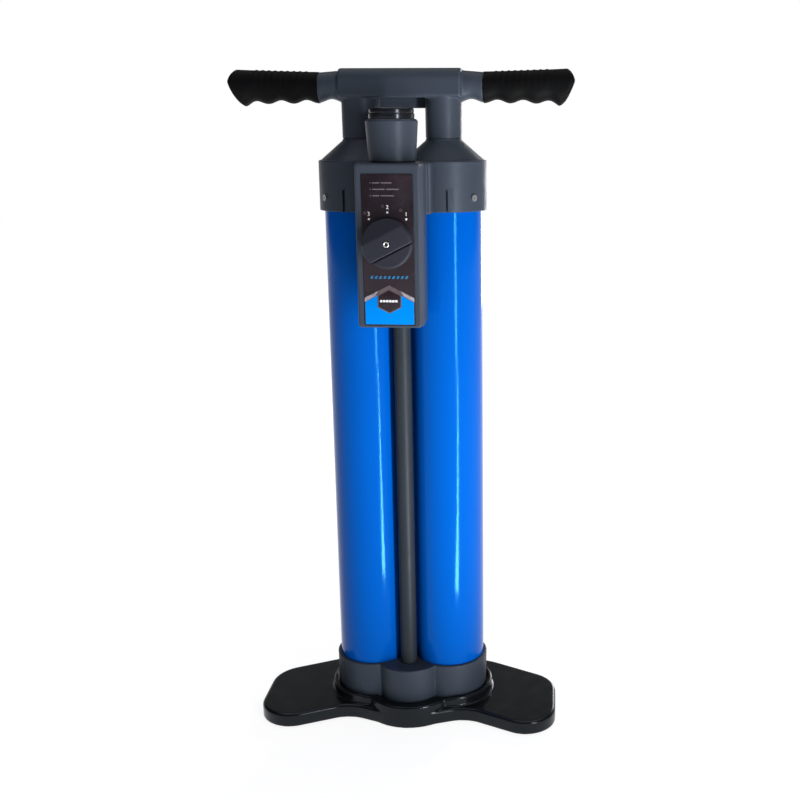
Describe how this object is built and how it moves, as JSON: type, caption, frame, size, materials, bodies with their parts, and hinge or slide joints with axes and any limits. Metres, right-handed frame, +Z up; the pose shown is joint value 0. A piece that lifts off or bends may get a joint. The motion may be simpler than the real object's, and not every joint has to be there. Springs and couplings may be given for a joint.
{
  "type": "two-cylinder stand-up hand air pump",
  "caption": "Tall stand-up hand pump: twin blue cylinders on a winged foot, T-handle, transfer tube, valve housing with a turning selector and an upward outlet socket.",
  "frame": {"origin": "on the floor, midway between the axes of the two cylinders", "axes": "+Z up along the cylinders, +X along the handle, -Y towards the valve housing at the front"},
  "size_m": [0.336, 0.1784, 0.6725],
  "materials": {
    "grey_plastic": "satin bluish dark grey moulding",
    "black_plastic": "glossy black moulding",
    "blue_tube": "glossy bright blue",
    "grip_rubber": "soft black rubber",
    "seal_rubber": "smooth black rubber",
    "steel": "zinc plated",
    "rod_chrome": "polished hard chrome",
    "bearing_plastic": "natural acetal",
    "label_film": "printed film",
    "socket_black": "glossy black"
  },
  "bodies": {
    "housing": {"foot_base": "black_plastic", "foot_screws": "steel", "base_gasket": "seal_rubber", "base_manifold": "grey_plastic", "left_base_seal": "seal_rubber", "right_base_seal": "seal_rubber", "left_intake_keeper": "grey_plastic", "right_intake_keeper": "grey_plastic", "delivery_keeper": "grey_plastic", "left_cylinder": "blue_tube", "right_cylinder": "blue_tube", "transfer_tube": "grey_plastic", "transfer_tube_seals": "seal_rubber", "head_cap": "grey_plastic", "head_screws": "steel", "left_head_seal": "seal_rubber", "right_head_seal": "seal_rubber", "left_rod_bushing": "bearing_plastic", "right_rod_bushing": "bearing_plastic", "left_rod_seal": "seal_rubber", "right_rod_seal": "seal_rubber", "seal_retainers": "steel", "left_head_valve": "seal_rubber", "right_head_valve": "seal_rubber", "control_box": "grey_plastic", "box_gasket": "seal_rubber", "box_back_cover": "grey_plastic", "cover_screws": "steel", "label_plate": "label_film", "selector_stator": "grey_plastic", "shaft_seal": "seal_rubber", "outlet_turret": "grey_plastic", "outlet_socket_ring": "socket_black", "turret_gasket": "seal_rubber", "outlet_valve_keeper": "grey_plastic"},
    "handle": {"handle_body": "grey_plastic", "left_grip": "grip_rubber", "right_grip": "grip_rubber", "handle_core_tube": "steel", "left_rod": "rod_chrome", "right_rod": "rod_chrome", "rod_pins": "steel", "left_piston": "grey_plastic", "right_piston": "grey_plastic", "left_piston_seal": "seal_rubber", "right_piston_seal": "seal_rubber", "piston_washers": "steel", "piston_nuts": "steel", "bump_stops": "seal_rubber"},
    "selector": {"selector_knob": "grey_plastic", "selector_screw": "steel", "selector_shaft": "steel", "selector_rotor": "bearing_plastic", "shaft_clip": "steel"},
    "left_intake_valve": {"left_intake_disc": "seal_rubber"},
    "right_intake_valve": {"right_intake_disc": "seal_rubber"},
    "delivery_valve": {"delivery_disc": "seal_rubber"},
    "outlet_valve": {"outlet_disc": "seal_rubber"}
  },
  "joints": [
    {"name": "handle_slide", "type": "slide", "parent": "housing", "child": "handle", "axis": [0, 0, 1], "range_m": [0, 0.47]},
    {"name": "selector_turn", "type": "hinge", "parent": "housing", "child": "selector", "pos_m": [0, -0.11, 0.515], "axis": [0, -1, 0], "range_deg": [0, 105]},
    {"name": "left_intake_lift", "type": "slide", "parent": "housing", "child": "left_intake_valve", "axis": [0, 0, 1], "range_m": [0, 0.0018]},
    {"name": "right_intake_lift", "type": "slide", "parent": "housing", "child": "right_intake_valve", "axis": [0, 0, 1], "range_m": [0, 0.0018]},
    {"name": "delivery_lift", "type": "slide", "parent": "housing", "child": "delivery_valve", "axis": [0, 0, 1], "range_m": [0, 0.004]},
    {"name": "outlet_lift", "type": "slide", "parent": "housing", "child": "outlet_valve", "axis": [0, 0, 1], "range_m": [0, 0.003]}
  ]
}
